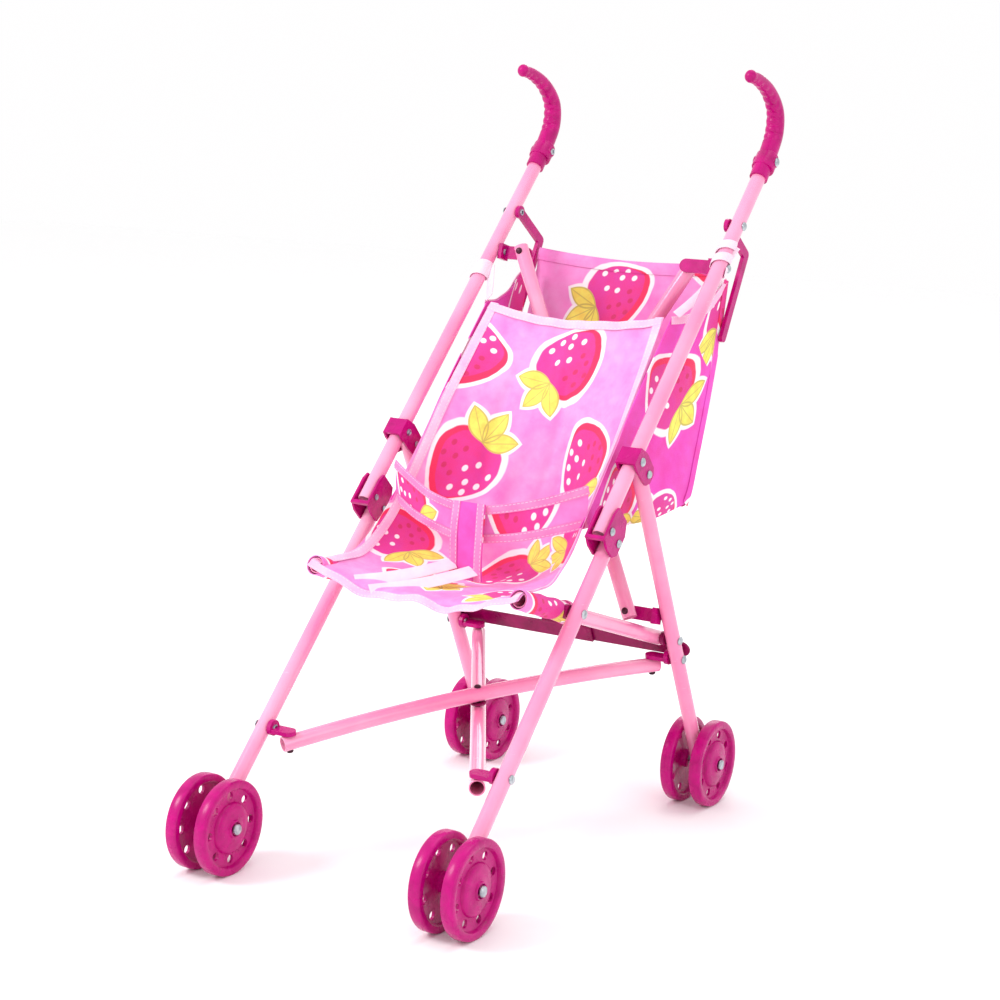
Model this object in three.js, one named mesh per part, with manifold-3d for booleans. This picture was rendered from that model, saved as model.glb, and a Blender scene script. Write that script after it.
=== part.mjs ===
// Doll stroller: an umbrella-folding frame of painted tube, moulded brackets,
// twin-disc wheels and a hung fabric seat. Millimetres, +Z up, the front faces -Y.
import * as THREE from 'three';
import { mergeVertices } from 'three/addons/utils/BufferGeometryUtils.js';
import Module from 'manifold-3d';

const wasm = await Module();
wasm.setup();

// ---------- driving dimensions ----------
const DEG = Math.PI / 180;
const GAP = 0.3;                      // clearance between touching pieces
const TUBE_R = 5.5;                   // every frame tube is 11 mm in diameter
const TUBE_WALL = 0.9;
const SIDE_X = 97;                    // tube axes of a side frame, from the middle
const ORIGIN_Y = 31.8;                //  moves the middle of the box onto the origin
const HANDLE_SLOPE = 46.9 * DEG;      // handle tube above the horizontal
const REAR_TILT = 27.9 * DEG;         // rear leg away from the vertical
const KNEE = { y: 6, z: 237 };        // knee rivet in the handle tube
const PIVOT_OFFSET = 14.5;            // leg pivots sit this far behind the handle axis
const CLAMP_UP = 59.5;                // rear clamp above the knee, along the tube
const RAIL_DOWN = 59;                 // seat rail pivot below the knee, on the front leg
const RAIL_BACK = 150;                // seat rail pivot below the clamp, on the rear leg
const LOW_BAR_FRONT = 188;            // bottom bar bracket, below the knee pivot
const LOW_BAR_REAR = 168;             // bottom bar bracket, below the clamp pivot
const BACK_BAR_UP = 240;              // back bar bracket, above the knee
const BACK_BAR_DOWN = 126;            // back bar bracket, below the clamp pivot
const WHEEL_R = 33;
const WHEEL_FACETS = 24;
const WHEEL_HALF_GAP = 12;            // middle of a disc from the leg axis
const AXLE_R = 2.2;
const PIN_R = 1.6;
const PIN_HOLE_R = 1.7;
const AXLE_Z = WHEEL_R * Math.cos(Math.PI / WHEEL_FACETS);   // a tread facet lies on z = 0

// ---------- colours ----------
const PAINT = { color: 0xf79ac4, roughness: 0.28, metalness: 0.1 };
const MOULDING = { color: 0xbf0f72, roughness: 0.4, metalness: 0 };
const DARK_MOULDING = { color: 0x8c0f4f, roughness: 0.45, metalness: 0 };
const STEEL = { color: 0xb9bec4, roughness: 0.3, metalness: 1 };
const CLOTH = { color: 0xee62bd, roughness: 0.85, metalness: 0 };
const RIBBON = { color: 0xfbc9de, roughness: 0.75, metalness: 0 };

// ---------- scene helpers ----------
const stroller = new THREE.Group();
stroller.position.y = -ORIGIN_Y;

function add(name, geometry, look, parent = stroller) {
  const mesh = new THREE.Mesh(geometry, new THREE.MeshStandardMaterial(look));
  mesh.name = name;
  parent.add(mesh);
  return mesh;
}

function turnedGroup(y, z, angle, parent = stroller) {
  const group = new THREE.Group();
  group.position.set(0, y, z);
  group.rotation.x = angle;
  parent.add(group);
  return group;
}

function solidOf(geometry) {
  const clean = geometry.clone();
  clean.deleteAttribute('normal');
  clean.deleteAttribute('uv');
  const merged = mergeVertices(clean, 1e-4);
  const mesh = new wasm.Mesh({
    numProp: 3,
    vertProperties: Float32Array.from(merged.attributes.position.array),
    triVerts: Uint32Array.from(merged.index.array),
  });
  return new wasm.Manifold(mesh);
}

function geometryOf(solid) {
  const mesh = solid.getMesh();
  const geometry = new THREE.BufferGeometry();
  geometry.setAttribute('position', new THREE.BufferAttribute(mesh.vertProperties, 3));
  geometry.setIndex(new THREE.BufferAttribute(mesh.triVerts, 1));
  geometry.computeVertexNormals();
  return geometry;
}

function combine(base, joined = [], cut = []) {
  let solid = solidOf(base);
  for (const piece of joined) {
    solid = solid.add(solidOf(piece));
  }
  for (const tool of cut) {
    solid = solid.subtract(solidOf(tool));
  }
  return geometryOf(solid);
}

// ---------- plain shapes ----------
function block(x0, x1, y0, y1, z0, z1) {
  const box = new THREE.BoxGeometry(Math.abs(x1 - x0), y1 - y0, z1 - z0);
  return box.translate((x0 + x1) / 2, (y0 + y1) / 2, (z0 + z1) / 2);
}

function crossRod(radius, x0, x1, y, z, segments = 12) {
  const rod = new THREE.CylinderGeometry(radius, radius, Math.abs(x1 - x0), segments);
  return rod.rotateZ(Math.PI / 2).translate((x0 + x1) / 2, y, z);
}

function ring(outer, inner, z0, z1, segments = 16) {
  const profile = [
    new THREE.Vector2(inner, z0),
    new THREE.Vector2(outer, z0),
    new THREE.Vector2(outer, z1),
    new THREE.Vector2(inner, z1),
    new THREE.Vector2(inner, z0),
  ];
  return new THREE.LatheGeometry(profile, segments).rotateX(Math.PI / 2);
}

// a tube along local z with cross holes along x at the given heights
function tube(z0, z1, holes, x = 0, y = 0) {
  const pipe = ring(TUBE_R, TUBE_R - TUBE_WALL, z0, z1);
  const drills = holes.map(([z, radius]) => crossRod(radius, -9, 9, 0, z));
  return combine(pipe, [], drills).translate(x, y, 0);
}

// a flat plate outlined in the side plane (y, z), thick along x
function sidePlate(outline, x0, x1) {
  const shape = new THREE.Shape(outline.map(([y, z]) => new THREE.Vector2(y, z)));
  const depth = Math.abs(x1 - x0);
  const plate = new THREE.ExtrudeGeometry(shape, { depth, bevelEnabled: false });
  plate.rotateY(Math.PI / 2).rotateX(Math.PI / 2);
  return plate.translate(Math.min(x0, x1), 0, 0);
}

// a rounded tongue in the x-z plane from x = base to the pin, thick along y
function tongue(baseX, pinX, halfWidth, y0, y1, z = 0) {
  const side = Math.sign(pinX);
  const shape = new THREE.Shape();
  shape.moveTo(Math.abs(baseX), -halfWidth);
  shape.lineTo(Math.abs(baseX), halfWidth);
  shape.lineTo(Math.abs(pinX), halfWidth);
  shape.absarc(Math.abs(pinX), 0, halfWidth, Math.PI / 2, Math.PI * 1.5, false);
  const options = { depth: y1 - y0, bevelEnabled: false, curveSegments: 8 };
  const plate = new THREE.ExtrudeGeometry(shape, options);
  plate.rotateX(Math.PI / 2).translate(0, y1, z);
  if (side < 0) {
    plate.rotateY(Math.PI);
    plate.translate(0, 0, 2 * z);
  }
  return plate;
}

// a domed pin along x: its head outboard, its flared end inboard
function pin(side, x, reach, y, z) {
  const head = 3.2;
  const profile = [
    new THREE.Vector2(0, -reach - 1),
    new THREE.Vector2(2.3, -reach - 1),
    new THREE.Vector2(2.3, -reach - GAP),
    new THREE.Vector2(PIN_R, -reach - GAP),
    new THREE.Vector2(PIN_R, reach + GAP),
    new THREE.Vector2(head, reach + GAP),
    new THREE.Vector2(head * 0.75, reach + 1.5),
    new THREE.Vector2(0, reach + 2),
  ];
  const body = new THREE.LatheGeometry(profile, 12);
  body.rotateZ(-side * Math.PI / 2);
  return body.translate(side * x, y, z);
}

// ---------- side frame layout ----------
const upY = Math.cos(HANDLE_SLOPE);
const upZ = Math.sin(HANDLE_SLOPE);
const onHandle = (behind, up) => ({
  y: KNEE.y + up * upY + behind * upZ,
  z: KNEE.z + up * upZ - behind * upY,
});
const clampPivot = onHandle(PIVOT_OFFSET, CLAMP_UP);
const onRearLeg = (down, behind = 0) => ({
  y: clampPivot.y + down * Math.sin(REAR_TILT) + behind * Math.cos(REAR_TILT),
  z: clampPivot.z - down * Math.cos(REAR_TILT) + behind * Math.sin(REAR_TILT),
});
const FRONT_LEG = (onHandle(PIVOT_OFFSET, 0).z - AXLE_Z) / upZ;
const REAR_LEG = (clampPivot.z - AXLE_Z) / Math.cos(REAR_TILT);
const sideFrame = turnedGroup(KNEE.y, KNEE.z, HANDLE_SLOPE - Math.PI / 2);
const rearFrame = turnedGroup(clampPivot.y, clampPivot.z, REAR_TILT);
const sides = [['left', -1], ['right', 1]];

// ---------- handles ----------
const HANDLE_LOW = -4;                // the open tube end, just below the knee rivet
const HANDLE_TOP = 346;
const GRIP_PATH = [[0, 328], [0, 340], [0, 352], [-5, 368], [-18, 379], [-38, 379],
  [-59, 370], [-73, 361]];

function handleTube() {
  return tube(HANDLE_LOW, HANDLE_TOP, [[0, PIN_HOLE_R]]);
}

function hookGrip() {
  const points = GRIP_PATH.map(([y, z]) => new THREE.Vector3(0, y, z));
  const extrudePath = new THREE.CatmullRomCurve3(points);
  const section = new THREE.Shape().absarc(0, 0, 7.4, 0, Math.PI * 2, false);
  const sweep = { steps: 20, extrudePath, curveSegments: 7, bevelEnabled: false };
  const body = new THREE.ExtrudeGeometry(section, sweep);
  const collar = new THREE.CylinderGeometry(8.6, 8.6, 12, 16).rotateX(Math.PI / 2);
  collar.translate(0, 0, 334);
  const socket = new THREE.CylinderGeometry(TUBE_R + GAP, TUBE_R + GAP, 26, 16);
  socket.rotateX(Math.PI / 2).translate(0, 0, HANDLE_TOP + GAP - 13);
  return combine(body, [collar], [socket]);
}

// ---------- brackets on the handle tube ----------
const PLATE_IN = 6;                   // inner face of a bracket cheek, from the tube axis
const PLATE_OUT = 7.8;
const KNEE_CHEEK = [[-5, -9], [3, -12], [14, -12], [19, -7], [19, 9], [13, 18], [-3, 18],
  [-5, 12]];
const CLAMP_CHEEK = [[-8.2, -8], [-3, -9], [10, -9], [17, -8], [21, -3], [21, 4], [17, 8],
  [2, 9], [-8.2, 6]];

function kneeBracket() {
  const cheeks = [-1, 1].map((s) => sidePlate(KNEE_CHEEK, s * PLATE_IN, s * PLATE_OUT));
  const web = block(-PLATE_OUT, PLATE_OUT, -5, -2.2, -12, -7.2);
  const holes = [crossRod(PIN_HOLE_R, -9, 9, 0, 0), crossRod(PIN_HOLE_R, -9, 9, PIVOT_OFFSET, 0)];
  const trim = block(-9, 9, -6, -2, -20, -9.9);
  return combine(web, cheeks, [...holes, trim]);
}

function rearClamp() {
  const cheeks = [-1, 1].map((s) => sidePlate(CLAMP_CHEEK, s * PLATE_IN, s * PLATE_OUT));
  const saddle = block(-PLATE_OUT, PLATE_OUT, -8.2, -TUBE_R - GAP, -7.6, 5.8);
  return combine(saddle, cheeks, [crossRod(PIN_HOLE_R, -9, 9, PIVOT_OFFSET, 0)]);
}

// ---------- legs ----------
function frontLeg() {
  const holes = [[0, PIN_HOLE_R], [-FRONT_LEG, AXLE_R + 0.1]];
  return tube(-FRONT_LEG - 5, 6, holes);
}

function rearLeg() {
  const holes = [[0, PIN_HOLE_R], [-REAR_LEG, AXLE_R + 0.1]];
  return tube(-REAR_LEG - 5, 4.5, holes);
}

// ---------- bag arm: a ridged channel hinged on the inner side of the handle ----------
const ARM_UP = 278;
const ARM_ROUTE = [[0, 0], [40, 6], [58, -60]];
const ARM_X = [88.2, 91.2];

function bagArm(side) {
  const half = 3.6;
  const parts = [crossRod(5, side * ARM_X[0], side * ARM_X[1], 0, 0, 16)];
  for (let i = 1; i < ARM_ROUTE.length; i += 1) {
    const [y0, z0] = ARM_ROUTE[i - 1];
    const [y1, z1] = ARM_ROUTE[i];
    const length = Math.hypot(y1 - y0, z1 - z0);
    const x0 = side * ARM_X[0];
    const x1 = side * ARM_X[1];
    const beam = block(x0, x1, 0, length, -half, half).rotateX(Math.atan2(z1 - z0, y1 - y0));
    parts.push(beam.translate(0, y0, z0));
    parts.push(crossRod(half, x0, x1, y1, z1));
  }
  return combine(parts[0], parts.slice(1));
}

// ---------- seat rails ----------
const RAIL_X = 82;
const RAIL_FRONT_REACH = 55;
const RAIL_REAR_REACH = 8;
const railFront = onHandle(PIVOT_OFFSET, -RAIL_DOWN);
const railRear = onRearLeg(RAIL_BACK);
const railSlope = Math.atan2(railFront.z - railRear.z, railRear.y - railFront.y);
const railSpan = Math.hypot(railRear.y - railFront.y, railFront.z - railRear.z);
const railFrame = turnedGroup(railFront.y, railFront.z, Math.PI / 2 - railSlope);

// ---------- crossed bars ----------
const BACK_PIN_X = 69;
const BACK_BAR_OFFSET = 6;
const LOW_PIN_X = 76;
const LOW_BAR_BOW = 6.6;
const LOW_PLANE_DROP = 9;             // the bars hang this far under their leg rivets
const BAR_OVERHANG = 5;
const EAR_GAP = 0.9;                  // room over the bowed end of a bottom bar
const BRACKET_X = [87.9, 91.2];

const backTop = onHandle(4, BACK_BAR_UP);
const backLow = onRearLeg(BACK_BAR_DOWN, -4);
const backSpan = Math.hypot(backTop.y - backLow.y, backTop.z - backLow.z);
const backAngle = Math.atan2(backLow.y - backTop.y, backTop.z - backLow.z);
const backFrame = turnedGroup(backLow.y, backLow.z, backAngle);

const frontRivet = onHandle(PIVOT_OFFSET, -LOW_BAR_FRONT);
const rearRivet = onRearLeg(LOW_BAR_REAR);
const lowSpan = Math.hypot(rearRivet.y - frontRivet.y, rearRivet.z - frontRivet.z);
const lowAngle = -Math.atan2(rearRivet.y - frontRivet.y, rearRivet.z - frontRivet.z);
const lowFrame = turnedGroup(frontRivet.y, frontRivet.z, lowAngle);

function backBar(startSide, y) {
  const run = Math.hypot(2 * BACK_PIN_X, backSpan);
  const pipe = ring(TUBE_R, TUBE_R - TUBE_WALL, -BAR_OVERHANG, run + BAR_OVERHANG, 14);
  pipe.rotateY(-startSide * Math.atan2(2 * BACK_PIN_X, backSpan));
  return pipe.translate(startSide * BACK_PIN_X, y, 0);
}

// the lower ears stand back from their bars, which lift a little partway through the fold
const LOW_EAR_RELIEF = 0.5;

function backBracket(side, barY, z) {
  const facing = Math.sign(barY);
  const near = z > 0 ? 0.2 : -LOW_EAR_RELIEF;
  const plateY = facing < 0 ? [-near, 2.8] : [-2.8, near];
  const ear = tongue(BRACKET_X[1], side * BACK_PIN_X, 5, plateY[0], plateY[1], z);
  const base = block(side * BRACKET_X[0], side * BRACKET_X[1], -5.5, 5.5, z - 6, z + 6);
  return combine(base, [ear]);
}

function lowBar(startSide, bow) {
  const run = Math.hypot(2 * LOW_PIN_X, lowSpan);
  const path = new THREE.QuadraticBezierCurve3(
    new THREE.Vector3(0, 0, -BAR_OVERHANG),
    new THREE.Vector3(0, 2 * bow, run / 2),
    new THREE.Vector3(0, 0, run + BAR_OVERHANG),
  );
  const section = new THREE.Shape().absarc(0, 0, TUBE_R, 0, Math.PI * 2, false);
  const bore = new THREE.Path().absarc(0, 0, TUBE_R - TUBE_WALL, 0, Math.PI * 2, true);
  section.holes.push(bore);
  const sweep = { steps: 12, extrudePath: path, curveSegments: 7, bevelEnabled: false };
  const pipe = new THREE.ExtrudeGeometry(section, sweep);
  pipe.rotateY(-startSide * Math.atan2(2 * LOW_PIN_X, lowSpan));
  return pipe.translate(startSide * LOW_PIN_X, LOW_PLANE_DROP, 0);
}

function lowBracket(side, z) {
  const earTop = LOW_PLANE_DROP - TUBE_R - EAR_GAP - 3;
  const ear = tongue(BRACKET_X[1], side * LOW_PIN_X, 5, earTop, earTop + 3, z);
  const base = crossRod(5.6, side * BRACKET_X[0], side * BRACKET_X[1], 0, z, 16);
  return combine(base, [ear]);
}

// ---------- rear cross brace ----------
const BRACE_DOWN = 166;
const BRACE_OVERLAP = 22;
const BRACE_THICK = 1.8;

function braceLink(side, layer) {
  const y0 = 6.4 + layer * (BRACE_THICK + GAP);
  const y1 = y0 + BRACE_THICK;
  const plate = block(-side * BRACE_OVERLAP, side * SIDE_X, y0, y1, -6.5, 6.5);
  const eye = new THREE.CylinderGeometry(6.5, 6.5, BRACE_THICK, 16);
  eye.translate(side * SIDE_X, (y0 + y1) / 2, 0);
  return combine(plate, [eye]).translate(0, 0, -BRACE_DOWN);
}

// ---------- wheels ----------
const WHEEL_PROFILE = [[2.3, -4.8], [6.5, -4.8], [7.5, -1], [26.5, -1], [27.5, -4.6], [32.2, -4.6],
  [33, -3.6], [33, 3.6], [32.2, 4.6], [27.5, 4.6], [26, 1.2], [18, 1.2], [16.5, 4], [5, 5.4],
  [4.6, 6.6], [2.3, 6.6]];
const WHEEL_HOLES = 8;
const HOLE_CIRCLE = 22.2;

function wheelDisc(outward) {
  const points = WHEEL_PROFILE.map(([r, x]) => new THREE.Vector2(r, x));
  points.push(points[0].clone());
  const disc = new THREE.LatheGeometry(points, WHEEL_FACETS);
  disc.rotateZ(-outward * Math.PI / 2).rotateX(Math.PI / WHEEL_FACETS);
  const drills = [];
  for (let i = 0; i < WHEEL_HOLES; i += 1) {
    const angle = (i / WHEEL_HOLES) * Math.PI * 2;
    const y = HOLE_CIRCLE * Math.cos(angle);
    drills.push(crossRod(2.4, -6, 6, y, HOLE_CIRCLE * Math.sin(angle), 8));
  }
  return combine(disc, [], drills);
}

function axle() {
  const half = WHEEL_HALF_GAP + 6.6 + GAP;
  const profile = [[0, -half - 1.4], [3.6, -half - 1.4], [4, -half], [AXLE_R, -half],
    [AXLE_R, half], [4, half], [3.6, half + 1.4], [0, half + 1.4]];
  const points = profile.map(([r, x]) => new THREE.Vector2(r, x));
  return new THREE.LatheGeometry(points, 16).rotateZ(-Math.PI / 2);
}

// ---------- fabric, as plain solids ----------
const CLOTH_HALF_X = 84;
const SEAT_HALF_X = 79;
const CLOTH_THICK = 2;
const BAG_WALL = 1.6;

// a flat panel between two points of the side plane
function panel(from, to, halfX, thick) {
  const length = Math.hypot(to.y - from.y, to.z - from.z);
  const slab = block(-halfX, halfX, -thick / 2, thick / 2, 0, length);
  slab.rotateX(Math.atan2(from.y - to.y, to.z - from.z));
  return slab.translate(0, from.y, from.z);
}

// an open-topped pouch behind the crossed bars, with a wing on each side that
// reaches forward to the side edge of the seat
const POUCH = [[186, 404], [218, 404], [176, 228], [153, 228]];
const WING = [[137, 370], [176, 392], [190, 396], [156, 229], [95, 222], [30, 237], [26, 250]];

function rearBag() {
  const inner = CLOTH_HALF_X - BAG_WALL;
  const outer = sidePlate(POUCH, -CLOTH_HALF_X, CLOTH_HALF_X);
  const [frontTop, rearTop, rearLow, frontLow] = POUCH;
  const hollow = [
    [frontTop[0] + BAG_WALL, frontTop[1] + 4],
    [rearTop[0] - BAG_WALL, rearTop[1] + 4],
    [rearLow[0] - BAG_WALL, rearLow[1] + BAG_WALL],
    [frontLow[0] + BAG_WALL, frontLow[1] + BAG_WALL],
  ];
  const wings = [-1, 1].map((s) => sidePlate(WING, s * inner, s * CLOTH_HALF_X));
  return combine(outer, wings, [sidePlate(hollow, -inner, inner)]);
}

function beltStrip() {
  const half = CLOTH_HALF_X - 2;
  const shape = new THREE.Shape();
  shape.moveTo(-half, 18);
  shape.quadraticCurveTo(0, -36, half, 18);
  shape.lineTo(half, 19.6);
  shape.quadraticCurveTo(0, -34.4, -half, 19.6);
  const options = { depth: 22, bevelEnabled: false, curveSegments: 12 };
  return new THREE.ExtrudeGeometry(shape, options).translate(0, 0, 222);
}

// ---------- assembly: the two side frames ----------
for (const [name, side] of sides) {
  const x = side * SIDE_X;
  const place = (mesh, y = 0, z = 0) => mesh.position.set(x, y, z);
  place(add(`${name}_handle_tube`, handleTube(), PAINT, sideFrame));
  place(add(`${name}_grip`, hookGrip(), MOULDING, sideFrame));
  place(add(`${name}_knee_bracket`, kneeBracket(), MOULDING, sideFrame));
  place(add(`${name}_rear_clamp`, rearClamp(), MOULDING, sideFrame), 0, CLAMP_UP);
  place(add(`${name}_front_leg`, frontLeg(), PAINT, sideFrame), PIVOT_OFFSET, 0);
  place(add(`${name}_rear_leg`, rearLeg(), PAINT, rearFrame));
  place(add(`${name}_tie`, ring(7, 6, 0, 7), RIBBON, sideFrame), 0, 200);
  add(`${name}_knee_rivet`, pin(side, SIDE_X, PLATE_OUT, 0, 0), STEEL, sideFrame);
  add(`${name}_knee_pin`, pin(side, SIDE_X, PLATE_OUT, PIVOT_OFFSET, 0), STEEL, sideFrame);
  const legPin = pin(side, SIDE_X, PLATE_OUT, PIVOT_OFFSET, CLAMP_UP);
  add(`${name}_rear_leg_pin`, legPin, STEEL, sideFrame);
  add(`${name}_bag_arm`, bagArm(side), MOULDING, sideFrame).position.z = ARM_UP;

  const rail = tube(-railSpan - RAIL_REAR_REACH, RAIL_FRONT_REACH, [], side * RAIL_X);
  add(`${name}_seat_rail`, rail, PAINT, railFrame);
  const spacerX = [side * (RAIL_X + TUBE_R + GAP), side * (SIDE_X - TUBE_R - GAP)];
  const frontSpacer = crossRod(5.2, spacerX[0], spacerX[1], 0, 0, 16);
  add(`${name}_front_rail_spacer`, frontSpacer, DARK_MOULDING, railFrame);
  const rearSpacer = crossRod(5.2, spacerX[0], spacerX[1], 0, -railSpan, 16);
  add(`${name}_rear_rail_spacer`, rearSpacer, DARK_MOULDING, railFrame);

  const topY = side * BACK_BAR_OFFSET;
  add(`${name}_back_bar_top_bracket`, backBracket(side, topY, backSpan), MOULDING, backFrame);
  add(`${name}_back_bar_low_bracket`, backBracket(side, -topY, 0), MOULDING, backFrame);
  add(`${name}_front_bar_bracket`, lowBracket(side, 0), MOULDING, lowFrame);
  add(`${name}_rear_bar_bracket`, lowBracket(side, lowSpan), MOULDING, lowFrame);
  add(`${name}_brace_link`, braceLink(side, side < 0 ? 0 : 1), DARK_MOULDING, rearFrame);
}

// ---------- assembly: crossed bars, named by the side of their upper or front end ----------
add('left_back_bar', backBar(1, -BACK_BAR_OFFSET), PAINT, backFrame);
add('right_back_bar', backBar(-1, BACK_BAR_OFFSET), PAINT, backFrame);
add('left_bottom_bar', lowBar(-1, -LOW_BAR_BOW), PAINT, lowFrame);
add('right_bottom_bar', lowBar(1, LOW_BAR_BOW), PAINT, lowFrame);
const crossSpacer = new THREE.CylinderGeometry(6, 6, 1.4, 16);
crossSpacer.translate(0, LOW_PLANE_DROP, lowSpan / 2);
add('bottom_bar_spacer', crossSpacer, DARK_MOULDING, lowFrame);

// ---------- assembly: wheels ----------
const frontAxle = onHandle(PIVOT_OFFSET, -FRONT_LEG);
const rearAxle = onRearLeg(REAR_LEG);
for (const [end, at] of [['front', frontAxle], ['rear', rearAxle]]) {
  for (const [name, side] of sides) {
    const hub = new THREE.Group();
    hub.position.set(side * SIDE_X, at.y, at.z);
    stroller.add(hub);
    add(`${end}_${name}_axle`, axle(), STEEL, hub);
    for (const [place, outward] of [['outer', side], ['inner', -side]]) {
      const disc = add(`${end}_${name}_${place}_wheel`, wheelDisc(outward), MOULDING, hub);
      disc.position.x = outward * WHEEL_HALF_GAP;
    }
  }
}

// ---------- assembly: fabric ----------
const seatTop = { y: 128, z: 372 };
const seatCrease = { y: 62, z: 182 };
add('seat_back', panel(seatCrease, seatTop, SEAT_HALF_X, CLOTH_THICK), CLOTH);
const railTop = TUBE_R + GAP + CLOTH_THICK / 2;
const overRail = (y) => ({
  y,
  z: railFront.z + (railFront.y - y) * Math.tan(railSlope) + railTop / Math.cos(railSlope),
});
add('seat_base', panel(overRail(58), overRail(-76), CLOTH_HALF_X, CLOTH_THICK), CLOTH);
add('waist_belt', beltStrip(), CLOTH);
add('crotch_strap', block(-12, 12, -13, -11, 199, 234), CLOTH);
add('rear_bag', rearBag(), CLOTH);

export default stroller;
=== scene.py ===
"""Doll stroller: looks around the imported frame. Metres, +Z up, the front faces -Y."""

import math

import bmesh
import bpy
import numpy as np
from mathutils import Matrix, Vector

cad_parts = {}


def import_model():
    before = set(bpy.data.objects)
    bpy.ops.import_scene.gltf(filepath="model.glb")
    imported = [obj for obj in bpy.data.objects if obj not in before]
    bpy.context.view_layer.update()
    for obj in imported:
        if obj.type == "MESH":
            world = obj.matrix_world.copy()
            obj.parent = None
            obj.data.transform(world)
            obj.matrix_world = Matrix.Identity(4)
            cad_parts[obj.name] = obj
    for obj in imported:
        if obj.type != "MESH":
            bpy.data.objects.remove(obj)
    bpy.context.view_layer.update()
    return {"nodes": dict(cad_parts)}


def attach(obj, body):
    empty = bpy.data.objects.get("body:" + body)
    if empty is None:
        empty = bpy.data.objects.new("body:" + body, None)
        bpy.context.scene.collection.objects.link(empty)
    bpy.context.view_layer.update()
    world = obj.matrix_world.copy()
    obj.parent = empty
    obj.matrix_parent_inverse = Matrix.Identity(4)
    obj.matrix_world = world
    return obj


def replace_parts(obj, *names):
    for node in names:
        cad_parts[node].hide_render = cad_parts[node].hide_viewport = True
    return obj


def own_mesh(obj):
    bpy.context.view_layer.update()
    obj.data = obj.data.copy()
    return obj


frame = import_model()
scene = bpy.context.scene

# ---- layout, in millimetres as in the CAD, before the shift of the origin ----
MM = 0.001
ORIGIN_Y = 31.8
SIDE_X = 97.0
TUBE_R = 5.5
TUBE_WALL = 0.9
SLOPE = math.radians(46.9)
TILT = math.radians(27.9)
KNEE_Y, KNEE_Z = 6.0, 237.0
PIVOT_OFFSET = 14.5
CLAMP_UP = 59.5
AXLE_Z = 33.0 * math.cos(math.pi / 24)
SIDES = (("left", -1), ("right", 1))


def world(x, y, z):
    """A point of the CAD's layout in the frame's metres."""
    return Vector((x * MM, (y - ORIGIN_Y) * MM, z * MM))


def on_handle(behind, up):
    """(y, z) measured from the knee pivot, up a handle tube and behind it."""
    return (KNEE_Y + up * math.cos(SLOPE) + behind * math.sin(SLOPE),
            KNEE_Z + up * math.sin(SLOPE) - behind * math.cos(SLOPE))


CLAMP_PIVOT = on_handle(PIVOT_OFFSET, CLAMP_UP)


def on_rear_leg(down, behind=0.0):
    """(y, z) measured from the clamp pivot, down a rear leg and behind it."""
    return (CLAMP_PIVOT[0] + down * math.sin(TILT) + behind * math.cos(TILT),
            CLAMP_PIVOT[1] - down * math.cos(TILT) + behind * math.sin(TILT))


FRONT_LEG = (on_handle(PIVOT_OFFSET, 0)[1] - AXLE_Z) / math.sin(SLOPE)
REAR_LEG = (CLAMP_PIVOT[1] - AXLE_Z) / math.cos(TILT)
RAIL_FRONT = on_handle(PIVOT_OFFSET, -59)
RAIL_REAR = on_rear_leg(150)
RAIL_X = 82.0
RAIL_RUN = math.dist(RAIL_FRONT, RAIL_REAR)
RAIL_WAY = ((RAIL_REAR[0] - RAIL_FRONT[0]) / RAIL_RUN, (RAIL_REAR[1] - RAIL_FRONT[1]) / RAIL_RUN)


def on_rail(along):
    """(y, z) on a seat rail's axis, measured rearwards from its front rivet."""
    return (RAIL_FRONT[0] + RAIL_WAY[0] * along, RAIL_FRONT[1] + RAIL_WAY[1] * along)


# the crossed bars: half the distance between their ends, and how far they stand off the plane of
# their rivets; the bottom bars also bow apart where they cross
BACK_TOP = on_handle(4, 240)
BACK_LOW = on_rear_leg(126, -4)
BACK_X, BACK_BEHIND = 69.0, 6.0
FRONT_RIVET = on_handle(PIVOT_OFFSET, -188)
REAR_RIVET = on_rear_leg(168)
BOTTOM_X, BOTTOM_BEHIND, BOTTOM_BOW = 76.0, 9.0, 6.6
BAR_OVER = 5.0      # how far a bar runs past its end pin


def link(name, data):
    """A new object in the scene."""
    obj = bpy.data.objects.new(name, data)
    scene.collection.objects.link(obj)
    return obj


# ---- camera and lights ----
CAMERA_ANGLES = (31.16, 9.72, 2.33)     # azimuth, elevation, roll in degrees
CAMERA_AWAY = 1.5207
CAMERA_AIM_UP = 250.0
CAMERA_LENS = 77.98
CAMERA_SHIFT = (0.023, -0.0046)


def make_camera():
    azimuth, elevation, roll = map(math.radians, CAMERA_ANGLES)
    back = Vector((math.sin(azimuth) * math.cos(elevation),
                   -math.cos(azimuth) * math.cos(elevation), math.sin(elevation)))
    right = Vector((math.cos(azimuth), math.sin(azimuth), 0))
    up = back.cross(right)
    image_right = right * math.cos(roll) + up * math.sin(roll)
    image_up = up * math.cos(roll) - right * math.sin(roll)
    data = bpy.data.cameras.new("camera")
    data.sensor_width = 36.0
    data.lens = CAMERA_LENS
    data.shift_x, data.shift_y = CAMERA_SHIFT
    data.clip_end = 50.0
    camera = link("camera", data)
    turn = Matrix((image_right, image_up, back)).transposed().to_4x4()
    camera.matrix_world = Matrix.Translation(world(0, 0, CAMERA_AIM_UP) + back * CAMERA_AWAY) @ turn
    scene.camera = camera


def make_light(name, place, aim, size, energy):
    data = bpy.data.lights.new(name, "AREA")
    data.shape = "DISK"
    data.size = size
    data.energy = energy
    light = link(name, data)
    light.location = place
    light.rotation_mode = "QUATERNION"
    light.rotation_quaternion = (Vector(aim) - Vector(place)).to_track_quat("-Z", "Y")


# ---- shader maths ----
TONE = 0.94     # colours are written as seen under the studio light


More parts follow.
